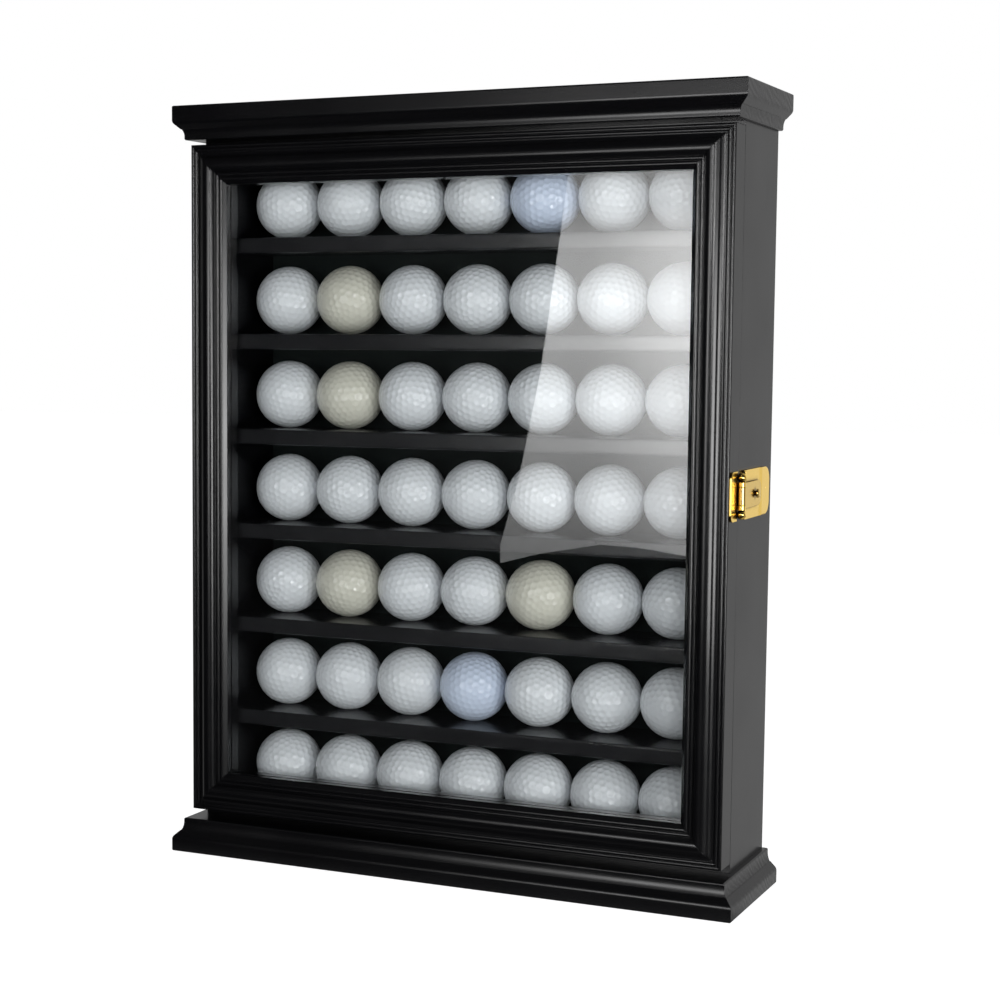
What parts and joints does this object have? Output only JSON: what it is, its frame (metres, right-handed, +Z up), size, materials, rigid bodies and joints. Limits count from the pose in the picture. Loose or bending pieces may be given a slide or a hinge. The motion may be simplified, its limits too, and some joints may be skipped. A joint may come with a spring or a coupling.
{
  "type": "golf ball display case",
  "caption": "Display case for golf balls: moulded black wooden cabinet with shelves of balls behind a hinged, glazed door that a brass hasp on its side keeps shut.",
  "frame": {"origin": "centre of the footprint, on the surface that the case stands on", "axes": "+X to the case's right as seen from the front, +Y to its back, +Z up; the door faces -Y"},
  "size_m": [0.3634, 0.0984, 0.4669],
  "materials": {
    "black_lacquered_wood": "satin black lacquer",
    "backing_board": "dark stained hardboard",
    "felt": "matt dark green felt",
    "glass": "clear and polished",
    "brass": "polished plating",
    "zinc_plated_steel": "bright zinc",
    "ball_cover": "white, dimpled, glossy clear coat"
  },
  "bodies": {
    "case": {"base_board": "black_lacquered_wood", "crown_board": "black_lacquered_wood", "left_side": "black_lacquered_wood", "right_side": "black_lacquered_wood", "case_floor": "black_lacquered_wood", "case_ceiling": "black_lacquered_wood", "shelf_1": "black_lacquered_wood", "shelf_2": "black_lacquered_wood", "shelf_3": "black_lacquered_wood", "shelf_4": "black_lacquered_wood", "shelf_5": "black_lacquered_wood", "shelf_6": "black_lacquered_wood", "back_panel": "backing_board", "back_felt": "felt", "ball_row_1": "ball_cover", "ball_row_2": "ball_cover", "ball_row_3": "ball_cover", "ball_row_4": "ball_cover", "ball_row_5": "ball_cover", "ball_row_6": "ball_cover", "ball_row_7": "ball_cover", "lower_hinge_case_leaf": "brass", "upper_hinge_case_leaf": "brass", "lower_hinge_pin": "brass", "upper_hinge_pin": "brass", "hinge_case_screws": "brass", "hasp_case_plate": "brass", "hasp_case_screws": "brass", "left_hanger": "brass", "right_hanger": "brass", "hanger_screws": "brass", "base_screws": "zinc_plated_steel", "crown_screws": "zinc_plated_steel"},
    "door": {"door_left_stile": "black_lacquered_wood", "door_right_stile": "black_lacquered_wood", "door_top_rail": "black_lacquered_wood", "door_bottom_rail": "black_lacquered_wood", "glass_pane": "glass", "left_glazing_bead": "black_lacquered_wood", "right_glazing_bead": "black_lacquered_wood", "top_glazing_bead": "black_lacquered_wood", "bottom_glazing_bead": "black_lacquered_wood", "glazing_clips": "zinc_plated_steel", "lower_hinge_door_leaf": "brass", "upper_hinge_door_leaf": "brass", "hinge_door_screws": "brass", "hasp_door_plate": "brass", "hasp_pin": "brass", "hasp_door_screws": "brass"},
    "tongue": {"hasp_tongue": "brass"}
  },
  "joints": [
    {"name": "door_hinge", "type": "hinge", "parent": "case", "child": "door", "pos_m": [-0.1752, -0.0205, 0.23475], "axis": [0, 0, -1], "range_deg": [0, 175]},
    {"name": "hasp_hinge", "type": "hinge", "parent": "door", "child": "tongue", "pos_m": [0.1755, -0.02325, 0.2377], "axis": [0, 0, -1], "range_deg": [0, 170]}
  ]
}
